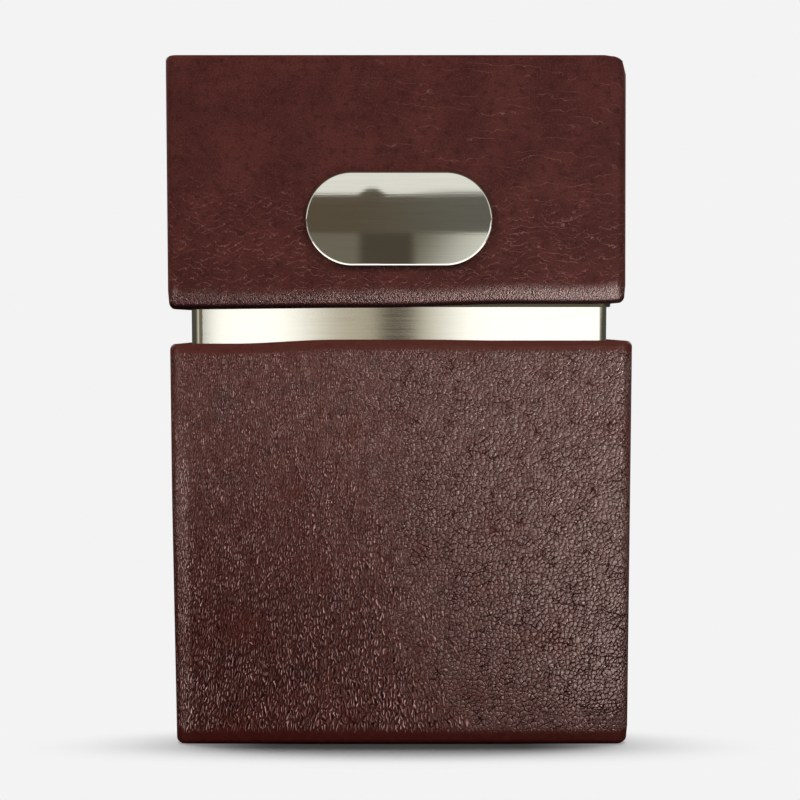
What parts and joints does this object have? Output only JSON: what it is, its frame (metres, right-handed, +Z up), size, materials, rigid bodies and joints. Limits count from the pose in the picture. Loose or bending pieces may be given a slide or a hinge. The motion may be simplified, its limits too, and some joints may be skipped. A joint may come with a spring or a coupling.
{
  "type": "cigarette case",
  "caption": "Leather-covered case for a pack of cigarettes: a steel neck stands in the base, and the lid with its bare metal plate slides down over it.",
  "frame": {"origin": "middle of the bottom face, at the surface the case stands on", "axes": "+Z up towards the lid, -Y towards the front with the plate, +X to the right seen from the front"},
  "size_m": [0.0656, 0.033, 0.097],
  "materials": {
    "leather": "satin",
    "board": "matte",
    "neck_steel": "polished",
    "liner_steel": "satin",
    "plate_steel": "satin",
    "tape": "matte"
  },
  "bodies": {
    "base": {"base_leather_wrap": "leather", "base_bottom_leather": "leather", "base_front_board": "board", "base_back_board": "board", "base_left_board": "board", "base_right_board": "board", "base_floor_board": "board", "neck_sleeve": "neck_steel", "neck_floor": "neck_steel"},
    "lid": {"lid_leather_wrap": "leather", "lid_top_leather": "leather", "lid_front_board": "board", "lid_back_board": "board", "lid_left_board": "board", "lid_right_board": "board", "lid_top_board": "board", "lid_liner_sleeve": "liner_steel", "lid_liner_top": "liner_steel", "nameplate": "plate_steel", "nameplate_tape": "tape"}
  },
  "joints": [
    {"name": "lid_slide", "type": "slide", "parent": "base", "child": "lid", "axis": [0, 0, 1], "range_m": [-0.0044, 0.03]}
  ]
}
